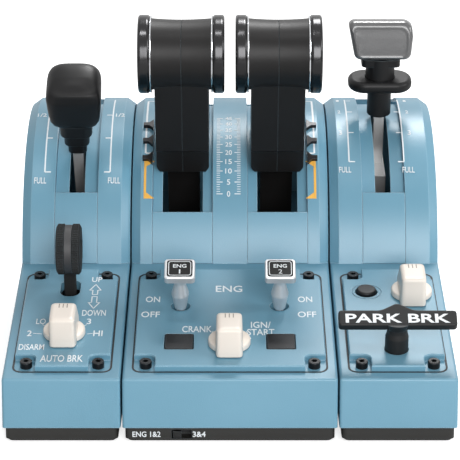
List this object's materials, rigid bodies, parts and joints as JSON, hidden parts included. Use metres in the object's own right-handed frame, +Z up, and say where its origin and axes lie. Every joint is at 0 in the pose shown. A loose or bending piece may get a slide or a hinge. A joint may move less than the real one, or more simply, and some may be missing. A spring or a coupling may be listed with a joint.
{
  "type": "throttle quadrant",
  "caption": "Desktop throttle quadrant: centre module with twin thrust levers, side modules with speed-brake and flap levers, and sloping panels of selectors and switches.",
  "frame": {"origin": "on the surface that the feet stand on, at the middle of the footprint and of the underside fixing pattern", "axes": "+X to the right, along the width; +Y away from the user, along the depth; +Z up"},
  "size_m": [0.2583, 0.2974, 0.2139],
  "materials": {
    "shell_plastic": "light blue-grey, fine grain, satin",
    "tray_plastic": "dark warm grey, matte",
    "black_plastic": "black, satin",
    "lever_plastic": "charcoal, fine matte",
    "ivory_plastic": "warm ivory, semi-gloss",
    "button_plastic": "dark grey, semi-gloss",
    "steel": "brushed",
    "black_steel": "black oxide, satin",
    "satin_metal": "satin bead-blasted",
    "polished_ring": "dark smoked chrome, polished",
    "rubber": "matte",
    "board": "green circuit board"
  },
  "bodies": {
    "housing": {"left_shell": "shell_plastic", "left_tray": "tray_plastic", "left_face_plate": "shell_plastic", "centre_shell": "shell_plastic", "centre_tray": "tray_plastic", "centre_face_plate": "shell_plastic", "right_shell": "shell_plastic", "right_tray": "tray_plastic", "right_face_plate": "shell_plastic", "side_tracks": "shell_plastic", "centre_tracks": "shell_plastic", "detent_tabs": "black_plastic", "rubber_feet": "rubber", "plate_screws": "black_steel", "base_screws": "black_steel", "link_screws": "black_steel", "link_plates": "steel", "lever_frames": "steel", "pivot_shafts": "steel", "shaft_spacers": "black_plastic", "lever_sensors": "board", "circuit_boards": "board", "knob_encoders": "black_plastic", "switch_bodies": "black_plastic", "gear_pivot": "steel", "rear_socket": "steel"},
    "left_thrust_lever": {"left_thrust_arm": "black_plastic", "left_thrust_outer_half": "lever_plastic", "left_thrust_inner_half": "lever_plastic", "left_grip_rings": "polished_ring"},
    "left_disconnect": {"left_disconnect_button": "button_plastic"},
    "right_thrust_lever": {"right_thrust_arm": "black_plastic", "right_thrust_outer_half": "lever_plastic", "right_thrust_inner_half": "lever_plastic", "right_grip_rings": "polished_ring"},
    "right_disconnect": {"right_disconnect_button": "button_plastic"},
    "speedbrake_lever": {"speedbrake_blade": "steel", "speedbrake_neck": "black_plastic", "speedbrake_knob": "lever_plastic"},
    "flap_lever": {"flap_blade": "steel", "flap_sleeve": "black_plastic", "flap_neck": "black_plastic", "flap_paddle": "lever_plastic"},
    "flap_lift_collar": {"flap_collar": "black_plastic"},
    "gear_lever": {"gear_stem": "black_plastic", "gear_wheel": "rubber"},
    "autobrake_selector": {"autobrake_knob": "ivory_plastic"},
    "mode_selector": {"mode_knob": "ivory_plastic"},
    "trim_selector": {"trim_knob": "ivory_plastic"},
    "engine_1_switch": {"engine_1_switch_stem": "satin_metal", "engine_1_switch_cap": "satin_metal"},
    "engine_1_tile": {"engine_1_tile_button": "black_plastic"},
    "engine_2_switch": {"engine_2_switch_stem": "satin_metal", "engine_2_switch_cap": "satin_metal"},
    "engine_2_tile": {"engine_2_tile_button": "black_plastic"},
    "round_press": {"round_button": "black_plastic"},
    "park_brake": {"park_brake_stem": "black_plastic", "park_brake_handle": "black_plastic"},
    "engine_select": {"engine_select_slider": "black_plastic"}
  },
  "joints": [
    {"name": "left_thrust_swing", "type": "hinge", "parent": "housing", "child": "left_thrust_lever", "pos_m": [-0.0295, 0.08666, 0.03859], "axis": [1, 0, 0], "range_deg": [-27, 15]},
    {"name": "left_disconnect_press", "type": "slide", "parent": "left_thrust_lever", "child": "left_disconnect", "axis": [1, 0, 0], "range_m": [0, 0.0012], "stiffness_N_per_m": 900},
    {"name": "right_thrust_swing", "type": "hinge", "parent": "housing", "child": "right_thrust_lever", "pos_m": [0.0295, 0.08666, 0.03859], "axis": [1, 0, 0], "range_deg": [-27, 15]},
    {"name": "right_disconnect_press", "type": "slide", "parent": "right_thrust_lever", "child": "right_disconnect", "axis": [-1, 0, 0], "range_m": [0, 0.0012], "stiffness_N_per_m": 900},
    {"name": "speedbrake_swing", "type": "hinge", "parent": "housing", "child": "speedbrake_lever", "pos_m": [-0.0955, 0.08666, 0.03859], "axis": [1, 0, 0], "range_deg": [-48, 11]},
    {"name": "flap_swing", "type": "hinge", "parent": "housing", "child": "flap_lever", "pos_m": [0.0955, 0.08666, 0.03859], "axis": [1, 0, 0], "range_deg": [-25.4, 28.3]},
    {"name": "flap_collar_lift", "type": "slide", "parent": "flap_lever", "child": "flap_lift_collar", "axis": [0, -0.1805, 0.9836], "range_m": [0, 0.005], "stiffness_N_per_m": 150},
    {"name": "gear_swing", "type": "hinge", "parent": "housing", "child": "gear_lever", "pos_m": [-0.0961, -0.04617, 0.04083], "axis": [1, 0, 0], "range_deg": [-14, 14]},
    {"name": "autobrake_turn", "type": "hinge", "parent": "housing", "child": "autobrake_selector", "pos_m": [-0.0962, -0.10175, 0.04553], "axis": [0, -0.1685, 0.9857], "range_deg": [-90, 90]},
    {"name": "mode_turn", "type": "hinge", "parent": "housing", "child": "mode_selector", "pos_m": [-0.0004, -0.11289, 0.04363], "axis": [0, -0.1685, 0.9857], "range_deg": [-45, 45]},
    {"name": "trim_turn", "type": "hinge", "parent": "housing", "child": "trim_selector", "pos_m": [0.1088, -0.05493, 0.05354], "axis": [0, -0.1685, 0.9857], "range_deg": [-60, 60]},
    {"name": "engine_1_switch_tip", "type": "hinge", "parent": "housing", "child": "engine_1_switch", "pos_m": [-0.0293, -0.06879, 0.04407], "axis": [1, 0, 0], "range_deg": [-30, 0]},
    {"name": "engine_1_tile_press", "type": "slide", "parent": "housing", "child": "engine_1_tile", "axis": [0, 0.1685, -0.9857], "range_m": [0, 0.001], "stiffness_N_per_m": 600},
    {"name": "engine_2_switch_tip", "type": "hinge", "parent": "housing", "child": "engine_2_switch", "pos_m": [0.0293, -0.06879, 0.04407], "axis": [1, 0, 0], "range_deg": [-30, 0]},
    {"name": "engine_2_tile_press", "type": "slide", "parent": "housing", "child": "engine_2_tile", "axis": [0, 0.1685, -0.9857], "range_m": [0, 0.001], "stiffness_N_per_m": 600},
    {"name": "round_button_press", "type": "slide", "parent": "housing", "child": "round_press", "axis": [0, 0.1685, -0.9857], "range_m": [0, 0.001], "stiffness_N_per_m": 600},
    {"name": "park_brake_turn", "type": "hinge", "parent": "housing", "child": "park_brake", "pos_m": [0.0955, -0.11871, 0.04264], "axis": [0, -0.1685, 0.9857], "range_deg": [0, 90]},
    {"name": "engine_select_slide", "type": "slide", "parent": "housing", "child": "engine_select", "axis": [1, 0, 0], "range_m": [0, 0.005]}
  ]
}
